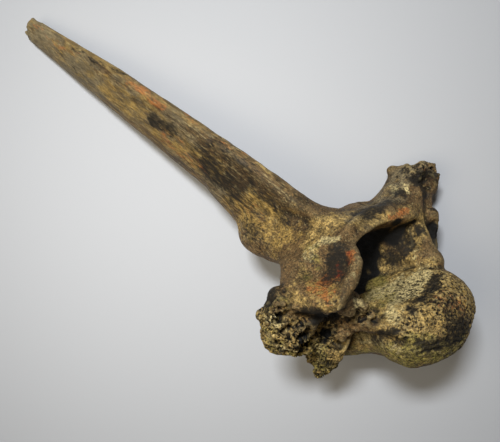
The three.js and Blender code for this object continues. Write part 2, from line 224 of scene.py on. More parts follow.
fineParts = [
    # ridges along the front of the spine and along the outer edge of the canal floor, with a crease under it
    grow(limb, 4, (-56, -1.2, 77), (-33, -2.6, 53), [(.8, 1), (1.4, 1.6)], side=(0, 1, 0), cap=2),
    grow(limb, 4, (-33, -2.6, 53), (-19, -5, 42.4), [(1.4, 1.6), (1.2, 1.2)], side=(0, 1, 0), cap=2),
    grow(limb, 4, (-15, -19.6, 13), (0, -16.6, 8.8), [(2, 1.8), (.8, 1)], side=(0, 1, 0), cap=2),
    carve(limb, 3, (-16, -20.5, 7.4), (1, -18.8, 4.4), [(.9, .7), (.6, .8)], side=(0, 1, 0), cap=2),
    # hollow of the left rib seat, opened behind the front edge of the wall
    carve(limb, .8, (-1.2, 29.4, 22.6), (1.4, 20.6, 15.8), [(1.5, 1.5), (2, 2), (1.2, 1.2)], cap=1.5),
    # far wall rounded into the canal floor
    grow(blob, 4, (-3.4, 18, 14.4), (5.5, 3.6, 3.8)),
    # rubble at the front edge of the right wall
    grow(blob, .7, (-8, -20, 18.5), (2.6, 2, 2.2)),
    grow(blob, .5, (-5.4, -22.4, 21.6), (1.8, 1.6, 2.6), ahead=(1, .5, .3)),
    grow(blob, .5, (-10.6, -18.6, 15), (2.4, 1.8, 1.6), ahead=(1, -.4, .3)),
    grow(blob, .5, (-5.8, -18.8, 15.4), (1.7, 1.5, 1.5)),
    grow(blob, .5, (-7.6, -26.8, 25.8), (2.2, 2.6, 1.6), ahead=(1, .2, -.5)),
    carve(blob, .6, (-8.8, -22.8, 19.6), (1.4, 1.6, 1.6)),
    carve(blob, .6, (-12.8, -21.4, 17.4), (2, 1.8, 1.6)),
    # end of the left process: a crevice and a hollow inside the broken shell
    carve(limb, .8, (-6.6, 44, 45), (-5, 30, 38.2), [(1.2, 2.6), (.8, 1.2)], cap=2),
    carve(blob, 1, (-13.5, 46.5, 42), (3, 3, 2.4)),
    carve(blob, 1, (-5.5, 45.6, 38.5), (3.6, 2.4, 2.2)),
    grow(blob, 2, (-5.5, 42, 34.5), (4, 3.8, 5)),
    grow(blob, 1.5, (-6, 44.5, 39.5), (3.6, 3, 3)),
    grow(blob, 3, (-8, 36.5, 29), (4, 4, 5)),
    grow(blob, 1, (-18, 41.5, 41.5), (2.6, 2.2, 2.4)),
    carve(blob, .7, (-2.8, 37.8, 36.6), (2.5, 3, 4.2)),
    # roof between the lip and the root of the left process
    grow(limb, 3, (-9.5, 13, 35), (-6.5, 27, 31.5), [(2.6, 2), (2.4, 2)], cap=2),
    grow(blob, 3, (-12, 16, 37), (5, 6, 2)),
    # lip along the front of the right joint
    grow(limb, 2.5, (-10, -9, 37.2), (-4.8, -17.6, 34.2), [(.6, .6), (.9, .9)], side=(0, 0, 1), cap=2),
    grow(limb, 2.5, (-4.8, -17.6, 34.2), (-6, -31, 27.6),
        [(.9, .9), (.8, .8), (.4, .4)], places=(0, .6, 1), side=(0, 0, 1), cap=2),
    # notch in the broken tip of the spine
    carve(blob, .5, (-138.2, 1.5, 149), (2.4, 4.5, 1.1), ahead=(-.68, 0, .74), up=(1, 0, 1)),
    # deep voids in the broken stub
    carve(blob, .8, (-22.6, -36, 23.2), (2, 2.8, 1.8)),
    carve(blob, .8, (-21.4, -37, 28), (2.8, 2.4, 1.5)),
    carve(blob, .8, (-24.4, -39, 21.8), (2, 2.4, 2.6), up=(.4, 0, 1)),
    carve(blob, .8, (-33.5, -40.6, 25.5), (2.2, 2, 2.2)),
    carve(blob, .8, (-22.4, -33.6, 17.2), (2.4, 3.2, 2.8)),
    carve(blob, .8, (-28, -38, 14), (3.4, 2.2, 1.6), ahead=(1, 0, .6)),
    carve(blob, .8, (-26.5, -27, 6), (1.6, 2, 2.4), up=(.7, 0, 1)),
    carve(blob, .8, (-32, -28.5, 4), (2.4, 2.2, 2)),
    carve(blob, .8, (-31, -25, -3), (1.6, 2, 2.2)),
    carve(blob, .6, (-22, -24.5, 13.5), (2.4, 2, 1.8)),
]

brokenPlaces = [   # centre, reach, height and wave of the coarse lumps
    ((-31, -36, 19), 13, 1.1, 6.5),      # stub of the right process
    ((-34, -21, -3), 12, .9, 6.0),       # worn rear rim
    ((-11, -20, 17), 8, .9, 4.2),        # front edge of the right wall
    ((-8, 46, 39), 8, 1.0, 6.0),         # end of the left process
    ((-139, 1.5, 150), 8, .8, 5.0),      # tip of the spine
    ((-27, -36.5, 31), 5, .9, 3.4),      # rim left on the stub
    ((-10, -32, 26), 5, .4, 3.8),        # outer edge of the right joint
    ((-5, 41, 40), 7, .6, 3.3),          # hollow in the end of the left process
]


def ripple(p, wave, shift):
    # three sines, each bent by the next, from -1 to 1 with lumps about one wave across
    k = 2 * np.pi / wave
    x, y, z = p[..., 0], p[..., 1], p[..., 2]
    a = k * (.8 * x + .36 * y - .48 * z) + shift
    b = k * (-.6 * x + .48 * y - .64 * z) + 2.1 * shift + 1
    c = k * (.8 * y + .6 * z) + 3.3 * shift + 2
    return sum(np.sin(u + 1.3 * np.sin(v)) for u, v in ((a, b), (b, c), (c, a))) / 3


def blended(a, b, width, way):
    # the lower of a and b for way 1, the higher of a and -b for way -1, rounded where they meet
    b = way * b
    share = np.clip(.5 + way * .5 * (b - a) / width, 0, 1)
    return b + (a - b) * share - way * width * share * (1 - share)


def boneField(p):
    # about the distance to the bone's surface in millimetres, below zero inside
    mirrored = p.copy()
    mirrored[..., 1] = np.abs(p[..., 1])
    field = np.full(p.shape[:-1], 1e3, np.float32)
    for shape, way, width, twice, places, turns in boneParts + fineParts:
        field = blended(field, shape(mirrored if twice else p, *places, **turns), width, way)
    fadeStart, fadeEnd, fade = bone["wavesFade"]
    waves = sum(height * ripple(p, length, shift) for height, length, shift in bone["waves"])
    field = field + (1 - fade * smooth(fadeStart, fadeEnd, p[..., 0])) * waves
    for at, reach, height, wave in brokenPlaces:
        share = np.clip(1.5 - np.linalg.norm(p - np.array(at, np.float32), axis=-1) / reach, 0, 1)
        field = field + height * share * ripple(p, wave, 3)
    return field


# Field to mesh

mesh = {   # the first grid line, then stretches of lines: where each ends, and its step in millimetres
    "x": [-149, (-62, 1.15), (-46, .7), (-6, .5), (22, .61)],      # coarse up the spine
    "y": [-50, (-14, .49), (54, .7)],                              # fine over the broken side
    "z": [-24, (-14, .64), (34, .52), (62, .7), (160, 1.15)],
    "block": 8, "batch": 400,         # corners along a block, and blocks worked out at once
    "steepness": 1.35, "margin": 2,   # how fast the field may change, and millimetres to spare
}


def gridLines(stretches):
    # equal steps along each stretch, the last one past its end
    lines = [float(stretches[0])]
    for end, step in stretches[1:]:
        while lines[-1] < end:
            lines.append(lines[-1] + step)
    return np.array(lines, np.float32)


def sampled(field, lines):
    # the field at every grid corner; blocks that lie far from the surface keep the value at their middle
    block = mesh["block"]
    count = [len(line) for line in lines]
    firsts = [np.arange(0, n, block) for n in count]
    lasts = [np.minimum(first + block, n) - 1 for first, n in zip(firsts, count)]
    middles = [(line[a] + line[b]) / 2 for line, a, b in zip(lines, firsts, lasts)]
    halves = [(line[b] - line[a]) / 2 for line, a, b in zip(lines, firsts, lasts)]
    coarse = field(np.stack(np.meshgrid(*middles, indexing="ij"), -1).astype(np.float32))
    halfDiagonal = np.sqrt(sum(h ** 2 for h in np.meshgrid(*halves, indexing="ij")))
    values = coarse
    for axis, n in enumerate(count):
        values = np.repeat(values, block, axis).take(range(n), axis)
    values = values.astype(np.float32)
    near = np.argwhere(np.abs(coarse) < mesh["steepness"] * halfDiagonal + mesh["margin"]) * block
    for some in np.array_split(near, len(near) // mesh["batch"] + 1):
        i, j, k = (np.minimum(some[:, a, None] + np.arange(block), count[a] - 1) for a in range(3))
        corners = np.broadcast_arrays(
            lines[0][i][:, :, None, None], lines[1][j][:, None, :, None], lines[2][k][:, None, None, :])
        values[i[:, :, None, None], j[:, None, :, None], k[:, None, None, :]] = field(np.stack(corners, -1))
    return values


def surfaceOf(values, lines):
    # a vertex in every cell that the surface crosses, amid its crossings, and a quad round every edge crossed
    inside = values < 0
    count = values.shape
    filled = sum(inside[tuple(slice(c, n - 1 + c) for c, n in zip(corner, count))].astype(int)
                 for corner in np.ndindex(2, 2, 2))
    crossed = (filled > 0) & (filled < 8)
    cells = np.argwhere(crossed)
    number = np.full(crossed.shape, -1)
    number[crossed] = np.arange(len(cells))
    total = np.zeros((len(cells), 3))
    crossings = np.zeros(len(cells))
    for axis in range(3):
        for b, c in np.ndindex(2, 2):
            ends = [cells + np.roll((a, b, c), axis) for a in (0, 1)]
            v0, v1 = (values[tuple(end.T)] for end in ends)
            cut = (v0 < 0) != (v1 < 0)
            t = np.where(cut, v0 / np.where(cut, v0 - v1, 1), 0)
            low, high = (np.stack([line[k] for line, k in zip(lines, end.T)], -1) for end in ends)
            total += np.where(cut[:, None], low + (high - low) * t[:, None], 0)
            crossings += cut
    quads = []
    for axis in range(3):
        ahead = np.take(inside, range(1, count[axis]), axis)
        behind = np.take(inside, range(count[axis] - 1), axis)
        edges = np.argwhere(ahead != behind)
        ring = np.stack([number[tuple((edges - np.roll((0, b, c), axis)).T)]
                         for b, c in ((1, 1), (0, 1), (0, 0), (1, 0))], -1)
        outward = inside[tuple(edges.T)]
        ring[~outward] = ring[~outward][:, ::-1]
        quads.append(ring)
    return total / crossings[:, None], np.concatenate(quads)


def largestBody(points, quads):
    # every vertex takes the lowest number near it until nothing changes, and the commonest number stays
    label = np.arange(len(points))
    while True:
        lowest = label[quads].min(axis=1)
        spread = label.copy()
        np.minimum.at(spread, quads.ravel(), np.repeat(lowest, 4))
        spread = spread[spread]
        if np.array_equal(spread, label):
            break
        label = spread
    kept = label == np.bincount(label).argmax()
    number = np.cumsum(kept) - 1
    return points[kept], number[quads[kept[quads[:, 0]]]]


def gathered(face, quads, count):
    # for each vertex, the sum of what its faces hold
    return np.stack([np.bincount(quads.ravel(), np.repeat(face[:, k], 4), count) for k in range(3)], -1)


def vertexNormals(points, quads):
    # the mean normal of the faces round each vertex, larger faces counting more
    face = np.cross(points[quads[:, 2]] - points[quads[:, 0]], points[quads[:, 3]] - points[quads[:, 1]])
    normals = gathered(face, quads, len(points))
    return normals / (np.linalg.norm(normals, axis=1, keepdims=True) + 1e-12)


# Regions, as strokes of a soft brush in the bone's frame: start, end, half width, strength

strokes = {
    "spongy": [      # inner bone laid open
        ((-33, -38, 24), (-27, -40, 19), 8, 1), ((-28, -38, 25), (-24, -36, 20), 6, 1),
        ((-36, -36, 16), (-34, -30, 6), 8, 1), ((-31, -24, 4), (-34, -22, -7), 8, 1),
        ((-38, -20, 4), (-38, -18, -10), 6, .9), ((-20, -24, 14), (-26, -26, 8), 5, .9),
        ((-10, -22, 18), (-7, -22, 21), 3.5, .5), ((-10, 46, 39), (-3, 45, 38), 4, .6),
        ((-33, -38, 27), (-26, -38, 30.5), 3.4, .9), ((-5, 42, 41), (-1, 37, 37), 4.4, .55),
        ((-139, 1.5, 150), (-139, 1.5, 150), 4, .25),
    ],
    "porous": [      # outer bone worn open
        ((6, 0, 4), (6, 0, 4), 17, 1), ((10, 2, -4), (2, 0, -10), 12, .8),
        ((-3, -19, 2), (-30, -17, -2), 5, .45), ((4, -14, 9), (2, 12, 11), 5, .7),
        ((-6, 22, 18), (-4, 22, 27), 4, .3), ((-38, 0, -2), (-38, 8, 2), 12, .6),
        ((-12, 36, 42), (-8, 42, 40), 5, .6), ((-10, -20, -8), (-28, -16, -10), 6, .4),
        ((-10, -22, 20), (-6, -24, 24), 4, .5), ((-55, 8, 40), (-40, 14, 40), 6, .3),
    ],
    "layered": [     # split skin round the lower edge of the head
        ((3, -18.5, 4), (10, -14, -.5), 5.5, 1), ((10, -14, -.5), (15.4, -4, -2.6), 5, 1),
        ((15, -4, -2), (15, 8, -4), 5, .5), ((-2, -18, 8), (-14, -18, 4), 3, .45),
    ],
    "tan": [         # light bare bone
        ((-24, -10, 43), (-11, 6, 41), 6, .8), ((-23, -30, 33), (-22, -14, 41), 2.6, .6),
        ((-24, 7, 13), (0, -4, 14), 15, 1), ((-6, 21, 17), (-5, 22, 28), 6, .9),
        ((6, 0, 4), (6, 0, 4), 20, .8), ((-8, -19, 0), (-26, -16, -3), 9, .7),
        ((-33, -36, 20), (-30, -24, 2), 13, .9), ((-12, 28, 39), (-11, 38, 42), 7, .45),
        ((-43, 0, 66), (-24, -4, 46), 3, .15), ((-124, -4, 132), (-91, -5, 99), 4.5, .75),
        ((-48, 1, 73), (-40, 1, 65), 2.4, .6), ((-108, -2, 119), (-98, -2, 119), 3, .25),
        ((-14, -8, 38), (-4, 20, 35), 2.6, .6), ((-24, -33, 32), (-7, -32, 27), 3, .5),
    ],
    "stain": [       # black and dark brown mineral, with a little painted shade
        ((-84, -4, 96), (-77, -4, 90), 3.4, .65), ((-66, -4, 79), (-55, -5, 63), 6, .45),
        ((-67, -4, 72), (-57, -5, 62), 5, .34), ((-55, -6, 56), (-49, -10, 48), 5, .35),
        ((-101, -2, 123), (-87, -2, 110), 2.2, .4), ((-60, -3, 83), (-45, -3, 66), 3, .35),
        ((-13, -16.8, 36.2), (-10.6, -21.4, 33.8), 5.6, .78),
        ((-13, -24.5, 33.4), (-11.5, -27, 32), 3.4, .3), ((-17.5, -13.5, 40.3), (-20, -17, 38.5), 3, .15),
        ((-12.5, 6, 41), (-10, 18, 39), 4, .7), ((-8.4, 18.6, 23.4), (-14, 14.4, 18), 3.4, .7),
        ((4, -18.5, 1.5), (12, -11, -3.4), 4.5, .35), ((5.5, 7, 13), (6.6, 1, 12.6), 2.7, .85),
        ((5.4, -5, 12.6), (4.2, -11, 12.3), 2.1, .75), ((-4.2, 36.5, 40.5), (-3, 36, 37.5), 2.6, .8),
        ((-13.5, 36, 42), (-10.5, 36.5, 42), 1.8, .6), ((-10, 25.5, 38), (-8, 26, 37), 1.7, .6),
        ((12, -12, 2), (16, -5, 0), 3.4, .45), ((7, -17, 2.7), (9, -15, 0), 3, .5),
        ((-2, -18, 9), (-12, -18, 5), 2.6, .7), ((-3, 36, 38), (-.5, 40, 37.5), 4.2, .85),
        # the first stroke on each of the next two rows is painted shade: in the crevice of the left rib seat,
        # then under the thin lower edge of the right joint plate
        ((-2, 26, 16), (-3, 28, 21), 4, .85), ((-29.5, -33, 30), (-30.5, -32.5, 28.5), 3.4, .5),
        ((-15, -35, 26), (-20, -23, 16), 3.6, .9), ((-53, -12, 47), (-45, -15, 40), 4, .3),
        ((-28, -23.5, 2), (-30, -23, -1.5), 3, .7), ((-34, -38, 12), (-28, -38, 10), 3, .45),
        ((-120, -3, 133), (-114, -4, 125), 3, .25), ((-29, -33, 33), (-32, -32, 31), 5, .7),
        ((-14, -17, 2), (-7, -18, 2), 3, .5), ((10, -3, 11.5), (15, -5, 4), 6.5, .46),
        ((15, -8, 2), (16, 0, -3), 5, .42), ((-2.6, 22.4, 22.4), (-4, 22.5, 25.4), 2, .8),
        ((-24, -19, 39), (-24, -24, 37), 3.5, .3), ((-29.5, -22, 1.5), (-30.5, -20.5, -2), 3.2, .5),
        ((-1.8, 33, 33), (-1.6, 31.5, 29.5), 2.2, .8), ((-14, 27, 40), (-9, 27, 38), 3, .45),
        ((-115, 0, 135), (-92, 1, 115.5), 1.5, .5), ((-64, -1.8, 86), (-62.5, -1.8, 84.5), 1.6, .5),
        ((-47, -4, 62), (-36, -7, 48), 3, .5), ((-28, -30, 2), (-33, -27, -4), 4.4, .3),
        ((-30, -22.6, 1), (-31, -20, -2), 2.4, .85), ((-8, 44, 42), (-11, 40, 42), 2.5, .4),
    ],
    "deep": [        # painted shade: black laid inside the canal, under the roof and in other deep shade
        ((-34, 12, 18), (-30, 10, 30), 8, 1), ((-31, -4, 18), (-27, -8, 30), 8, 1),
        ((-27, 15, 21), (-22, 14.5, 20), 5.2, 1), ((-24, 15, 26), (-17, 15.5, 26.5), 4.8, 1),
        ((-15, 15.5, 28.5), (-6, 14.5, 32.5), 3, 1), ((-12.6, 16.3, 24.6), (-7.5, 19.4, 27.2), 2.8, 1),
        ((-1.4, 29.6, 22), (-1, 27.6, 16), 2.7, 1), ((-.6, 26, 15.4), (1.8, 20, 15.2), 1.8, .9),
        ((-22.6, -34.6, 18), (-22.2, -32, 17), 2.6, .9), ((-27, 14, 16), (-25.5, 9, 12.5), 4, 1),
        ((-24, 15, 22), (-18.4, 15, 19), 4, 1), ((-22, 13, 16), (-21.6, 11, 14.5), 4, 1),
        ((-24.6, 9, 13), (-22.6, -1, 12.8), 3.5, 1), ((-8.4, 18.8, 28), (-5.4, 21.6, 28.6), 2.2, 1),
        ((-8.4, -17.6, 23.5), (-7.8, -18.2, 21.4), 2, .45),
        ((-23.5, -37, 27.4), (-19.5, -36, 27.4), 2, .85), ((-28, 4, 12.5), (-26, -3, 12.8), 4, 1),
        ((-19, -33, 26.5), (-18, -30, 22.5), 2.6, .95),
        ((-17.5, -28.5, 20.8), (-17.5, -21.5, 16.5), 2.8, .95), ((-24, -14.5, 3), (-27, -16, -3), 2.6, .85),
        ((-15, -21, 14), (-19, -20, 8), 2.2, .8),
    ],
    "rust": [        # orange and red iron
        ((-131, 0, 147), (-112, 0, 131), 1.8, .24), ((-90, 0, 113), (-77, -1, 100), 2.8, .56),
        ((-4, 41, 40), (-1.6, 40.5, 35.5), 3, .38), ((-82, -4, 88), (-69, -4, 75), 4, .42),
        ((-76, -1, 99), (-44, 0, 68), 1.5, .42), ((-7.6, -15.6, 35.8), (-6.4, -19, 34.6), 2, .8),
        ((-11, -20.4, 33.8), (-9, -22, 32.8), 2.4, .8), ((-6, 10, 36), (-4, 19, 34), 2, .75),
        ((-14, -24, 33.4), (-9.6, -24, 32.4), 3, .4), ((12, -3, 10), (14, -1, 6), 5, .45),
        ((-54, -6, 54), (-47, -9, 49), 3, .2), ((-15, -25.6, 33), (-10.5, -29.5, 31), 4.4, .6),
    ],
    "ochre": [       # yellow brown earth
        ((-100, -3, 113), (-88, -4, 101), 6, .45), ((-84, -4, 90), (-62, -4, 72), 6, .6),
        ((-60, -6, 52), (-46, -8, 50), 8, .6), ((-50, -6, 56), (-38, -12, 42), 7, .55),
        ((-16, -26, 32.4), (-10, -29, 31), 4.6, .7), ((11, -6, 10), (14, 4, 6), 9, .4),
        ((-40, -8, 50), (-30, -10, 45), 6, .4), ((-122, -2, 135), (-110, -3, 122), 6, .3),
    ],
    "green": [       # olive clay left in the pores
        ((-20, 5, 13), (-8, -7, 13.4), 7, .7), ((4, -16, 0), (14, -8, -6), 8, .7),
        ((-4, -20, -2), (-22, -15, -8), 8, .7), ((-33, -34, 10), (-33, -22, -8), 9, .6),
        ((-22, -14, 39.5), (-21, -24, 36), 3, .35), ((-26, -34, 32), (-30, -33, 30), 4, .55),
        ((-40, -36, 22), (-30, -40, 24), 8, .4),
    ],
    "crust": [       # pale crust
        ((-19, -12, 41), (-14, -11.5, 41), 2.4, .85), ((-22, -15, 40), (-23, -18, 39), 2, .45),
        ((-11, -12, 40), (-5, -14, 36), 1.4, .3), ((-4.6, -17, 34.7), (-4.6, -24, 31.8), 1.2, .3),
        ((-33, -39, 20), (-30, -37, 13), 4, .3), ((-10, -20, 20), (-7, -20, 18), 2.5, .5),
        ((-13, 31, 40.6), (-11, 27, 39.4), 3, .55), ((-22, -21, 12), (-20, -22, 10), 3, .5),
        ((-32, -38, 14), (-29, -38, 16), 2.5, .5), ((-40, 0, 60), (-27, -4, 50), 2, .2),
        ((-9.5, 35, 41.4), (-6.8, 28.5, 38), 2.2, .95), ((-106, -2, 121), (-102, -2, 117), 2, .3),
        ((-13, -3, 13.5), (-4, 4, 13.3), 7.5, .62), ((-2, -12, 12.8), (0, 8, 13), 4.5, .72),
        ((-1, 16.4, 14.6), (-4.6, 18, 18), 3.6, .85), ((-20, -12.7, 2.4), (-2, -19.8, 3.2), 3, .42),
        ((-31, -39, 27), (-26, -39, 18), 9, .3), ((-28.5, -40, 28.8), (-21.5, -37.5, 29.2), 2, .6),
        ((-25, -25, 9.4), (-28, -27.5, 7.4), 3, .5), ((-7, -24.6, 22.6), (-4.6, -24.4, 23), 2.4, .6),
        ((-26, -39.4, 28.4), (-22, -38, 28.4), 2.4, .5), ((-21, -13.2, 2), (-16.5, -13, 3), 2.6, .4),
    ],
    "grey": [        # weathered, with the brown washed out
        ((-136, -2, 148), (-112, -3, 121), 9, .75), ((-112, -3, 121), (-72, -4, 84), 8, .5),
        ((-80, -5, 82), (-62, -8, 60), 4, .4), ((-16, 24, 38), (-10, 40, 42), 9, .65),
        ((-62, -6, 62), (-50, -12, 45), 4, .4), ((-14, 2, 42), (-12, 18, 40), 5, .5),
    ],
}


def stroked(points, rows, outer=1.45, inner=.35):
    # one minus the product of what each stroke leaves bare; a stroke ends at outer and is full from inner on,
    # both in half widths
    bare = np.ones(len(points))
    for start, end, width, strength in rows:
        start = np.array(start, float)
        run = np.array(end, float) - start
        t = np.clip((points - start) @ run / max(run @ run, 1e-9), 0, 1)
        away = np.linalg.norm(points - start - t[:, None] * run, axis=1) / width
        bare *= 1 - strength * smooth(outer, inner, away)
    return 1 - bare


def spineCoordinates(points):
    # place along the spine, across it and through it, in millimetres
    start = np.array(bone["spineStart"], float)
    axis = unit(np.array(bone["spineTip"]) - start)
    wide = squareTo((1, 0, 1), axis)
    q = points - start
    return np.stack([q @ axis, q @ wide, q @ np.cross(axis, wide)], -1)


relief = {   # sizes and depths in millimetres; a bend is the size and reach of the noise that bends a pattern
    "regionBends": [(9, 2.2), (3, .9)],
    "spongeCell": 2.2, "spongeDepth": 2.2, "spongeBend": (3.2, 1.1), "spongeWall": (.06, .36),
    "fineCell": 1.15, "fineDepth": .7, "fineBend": (1.6, .5), "fineWall": (.1, .5),
    "laceSize": 1.5, "laceDepth": .32, "laceBend": (2.2, .7), "laceWidth": .2,
    "poreCell": 1.6, "poreDepth": .8, "poreBend": (2.0, .6), "poreEdge": (.42, .2),
    "layerWave": 1.7, "layerDepth": .6, "layerAcross": (.35, -.55, -.75),
    "grainLong": 18, "grainWide": 1.7, "grainDepth": .16,
    "weatherSize": 4, "weatherDepth": .3,
    "spineStarts": (14, 30), "grainStarts": (18, 34), "shaftStarts": (48, 92),      # up the spine
    "squeeze": .68,               # how much shorter patterns are drawn along the spine before they stretch
    "openReaches": (1.5, 3, 6, 11), "thinReach": 2.2, "bulgeHeight": .25, "bulgeRounds": 6,
    "foramina": [   # small natural holes: place, half width, depth
        ((-11, 10, 14), .8, 1.6), ((-3, 6.5, 13), .55, 1.2), ((-10.5, -.5, 13.4), .55, 1.4),
        ((-16, 15, 18), .7, 1.4), ((-17.5, -18, 1), 1.1, 2.2), ((-19, 1, 13), 1.2, 1.6),
        ((-3, -8, 13), .5, 1.0), ((-26, -4, 12.5), 1.4, 1.8), ((-6, 3, 13.6), .5, 1.0),
        ((-8, -5, 13.5), .45, .9), ((-20, 22, 41), .7, 1.2), ((-30, -11, 46), .7, 1.2),
    ],
}


def pitted(points, area):
    # how far each point sinks, in millimetres, and how much of that is an open pit, from 0 to 1
    r = relief
    spongy, porous = area["spongy"], area["porous"]

    # open sponge: large and fine cells with thin walls
    first, second, owner = cellWalls(warped(points, *r["spongeBend"], 40), r["spongeCell"], 11)
    cells = smooth(*r["spongeWall"], second - first) * smooth(-.1, .6, owner + .5 * noise(points, 5, 150))
    first, second, owner = cellWalls(warped(points, *r["fineBend"], 60), r["fineCell"], 21)
    fineCells = smooth(*r["fineWall"], second - first) * owner

    # worn outer bone: curling grooves where noise is near zero, and round pores
    worn = porous * (1 - spongy)
    lace = noise(warped(points, *r["laceBend"], 120), r["laceSize"], 110, 2)
    lace = worn * smooth(r["laceWidth"], .02, np.abs(lace)) * smooth(-.45, .1, noise(points, 2.4, 140, 2))
    first, second, owner = cellWalls(warped(points, *r["poreBend"], 70), r["poreCell"], 31)
    pore = worn * smooth(*r["poreEdge"], first) * smooth(.4, .6, owner)

    # split layers, long grain on the spine, natural holes
    across = points @ unit(r["layerAcross"]) + 1.6 * noise(points, 6, 80, 3)
    layers = np.abs(np.sin(np.pi * across / r["layerWave"])) ** 3 * area["layered"]
    layers = layers * smooth(-.5, .3, noise(points, 3, 130, 2))
    along = spineCoordinates(points)
    onSpine = smooth(*r["grainStarts"], along[:, 0])
    grain = noise(along / (r["grainLong"], r["grainWide"], r["grainWide"]), 1, 90, 2) * onSpine
    hole = np.zeros(len(points))
    holeDepth = np.zeros(len(points))
    for at, width, depth in r["foramina"]:
        share = smooth(1.2, .7, np.linalg.norm(points - at, axis=1) / width)
        hole = np.maximum(hole, share)
        holeDepth = np.maximum(holeDepth, depth * share)

    weather = noise(points, r["weatherSize"], 95, 3) * (1 - .6 * onSpine)
    sunk = spongy * (r["spongeDepth"] * cells + r["fineDepth"] * fineCells)
    sunk = sunk + r["laceDepth"] * lace + r["poreDepth"] * pore + r["layerDepth"] * layers
    sunk = sunk + r["grainDepth"] * grain + holeDepth + r["weatherDepth"] * weather
    pit = np.maximum.reduce([
        spongy * smooth(.3, .85, cells), .5 * spongy * fineCells, pore, .35 * lace, .85 * layers, hole])
    return sunk, pit


def averaged(values, quads, times):
    # each vertex takes the mean of the faces around it, over and over
    count = np.bincount(quads.ravel())[:, None]
    for _ in range(times):
        values = gathered(values[quads].mean(axis=1), quads, len(values)) / count
    return values


def openness(points, normals):
    # the field at several reaches outside each point, as a share of the reach: near 1 on an open face, near 0
    # deep in a hollow
    reaches = relief["openReaches"]
    return sum(np.clip(boneField((points + reach * normals).astype(np.float32)) / reach, 0, 1)
               for reach in reaches) / len(reaches)


def thinness(points, normals):
    # near 1 on edges and thin walls, where the bone ends close behind the surface
    reach = relief["thinReach"]
    return np.clip(1 + boneField((points - reach * normals).astype(np.float32)) / reach, 0, 1)


def stretchPlaces(points, along):
    # points drawn in towards the root of the spine, so that a pattern read there comes out longer along it
    low, high = relief["spineStarts"]
    share = np.clip((along[:, 0] - low) / (high - low), 0, 1)
    way = (high - low) * (share ** 3 - share ** 4 / 2) + np.maximum(along[:, 0] - high, 0)
    return points - relief["squeeze"] * way[:, None] * unit(np.subtract(bone["spineTip"], bone["spineStart"]))


def lyingTurn():
    # rows are the object's own X, Y and Z in the bone's frame
    up = unit(bone["lieUp"])
    forward = squareTo(bone["lieForward"], up)
    return np.stack([forward, np.cross(up, forward), up])


def newObject(name, data):
    thing = bpy.data.objects.new(name, data)
    bpy.context.scene.collection.objects.link(thing)
    return thing


def meshObject(name, points, quads, attributes):
    # a smooth mesh of quads, with one number or one vector at each vertex for every attribute
    data = bpy.data.meshes.new(name)
    data.vertices.add(len(points))
    data.vertices.foreach_set("co", points.astype(np.float32).ravel())
    data.loops.add(quads.size)
    data.loops.foreach_set("vertex_index", quads.astype(np.int32).ravel())
    data.polygons.add(len(quads))
    data.polygons.foreach_set("loop_start", np.arange(0, quads.size, 4, dtype=np.int32))
    data.polygons.foreach_set("use_smooth", np.ones(len(quads), bool))
    data.update(calc_edges=True)
    data.validate()
    for label, values in attributes.items():
        kind, field = ("FLOAT", "value") if values.ndim == 1 else ("FLOAT_VECTOR", "vector")
        data.attributes.new(label, kind, "POINT").data.foreach_set(field, values.astype(np.float32).ravel())
    return newObject(name, data)


def makeVertebra():
    r = relief
    lines = [gridLines(mesh[axis]) for axis in "xyz"]
    values = sampled(boneField, lines)
    points, quads = largestBody(*surfaceOf(values, lines))
    normals = vertexNormals(points, quads)
    print("bone surface:", len(points), "vertices,", 2 * len(quads), "triangles")
    broad, narrow = r["regionBends"]
    loose = warped(warped(points, *broad, 5), *narrow, 15)
    area = {label: stroked(loose, rows) for label, rows in strokes.items()}
    sunk, area["pit"] = pitted(points, area)
    # painted shade: hollow grows the more closed in a point is, and takes in the painted shade strokes
    area["hollow"] = np.maximum(1 - openness(points, normals), .9 * area["deep"])
    area["edge"] = thinness(points, normals)
    along = spineCoordinates(points)
    area["spine"] = smooth(*r["spineStarts"], along[:, 0] + 3 * noise(points, 6, 3))
    area["shaft"] = smooth(*r["shaftStarts"], along[:, 0] + 8 * noise(points, 14, 8))
    area["grain"] = along * mm
    area["place"] = stretchPlaces(points, along) * mm
    del area["layered"], area["deep"]
    points = points - sunk[:, None] * normals
    # how far each point stands out of its surroundings, where 1 is the full height of a bulge
    standing = np.sum((points - averaged(points, quads, r["bulgeRounds"])) * normals, axis=1)
    area["bulge"] = np.clip(standing / r["bulgeHeight"], -1, 1)
    laid = (points - bone["lieSpot"]) @ lyingTurn().T * mm
    laid[:, 2] = np.maximum(laid[:, 2], 0)
    print("relief and regions done")
    return meshObject("vertebraBone", laid, quads, area)


vertebra = makeVertebra()
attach(vertebra, "root")
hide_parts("vertebra")
print("bone mesh ready")


# Material

def tint(text):
    # a screen colour such as "8a7750" as the linear colour that shaders take
    screen = np.array([int(text[k:k + 2], 16) for k in (0, 2, 4)]) / 255
    linear = np.where(screen <= .04045, screen / 12.92, ((screen + .055) / 1.055) ** 2.4)
    return (*linear, 1.0)


def nodeMakers(tree):
    # add makes any node, whose inputs go by socket name or number, each a value or another node's output;
    # maths and ramp each make one kind of node and give its output
    def add(kind, inputs=None, **settings):
        node = tree.nodes.new(kind)
        node.location = (180 * (len(tree.nodes) % 12), -220 * (len(tree.nodes) // 12))
        for label, value in settings.items():
            setattr(node, label, value)
        for label, value in (inputs or {}).items():
            if isinstance(value, bpy.types.NodeSocket):
                tree.links.new(value, node.inputs[label])
            else:
                node.inputs[label].default_value = value
        return node

    def maths(kind, a, b, clamp=False):
        return add("ShaderNodeMath", {0: a, 1: b}, operation=kind, use_clamp=clamp).outputs[0]

    def ramp(value, low, high, first=0.0, last=1.0, way="LINEAR"):
        return add("ShaderNodeMapRange", {
            "Value": value, "From Min": low, "From Max": high, "To Min": first, "To Max": last},
            interpolation_type=way).outputs["Result"]
    return add, maths, ramp


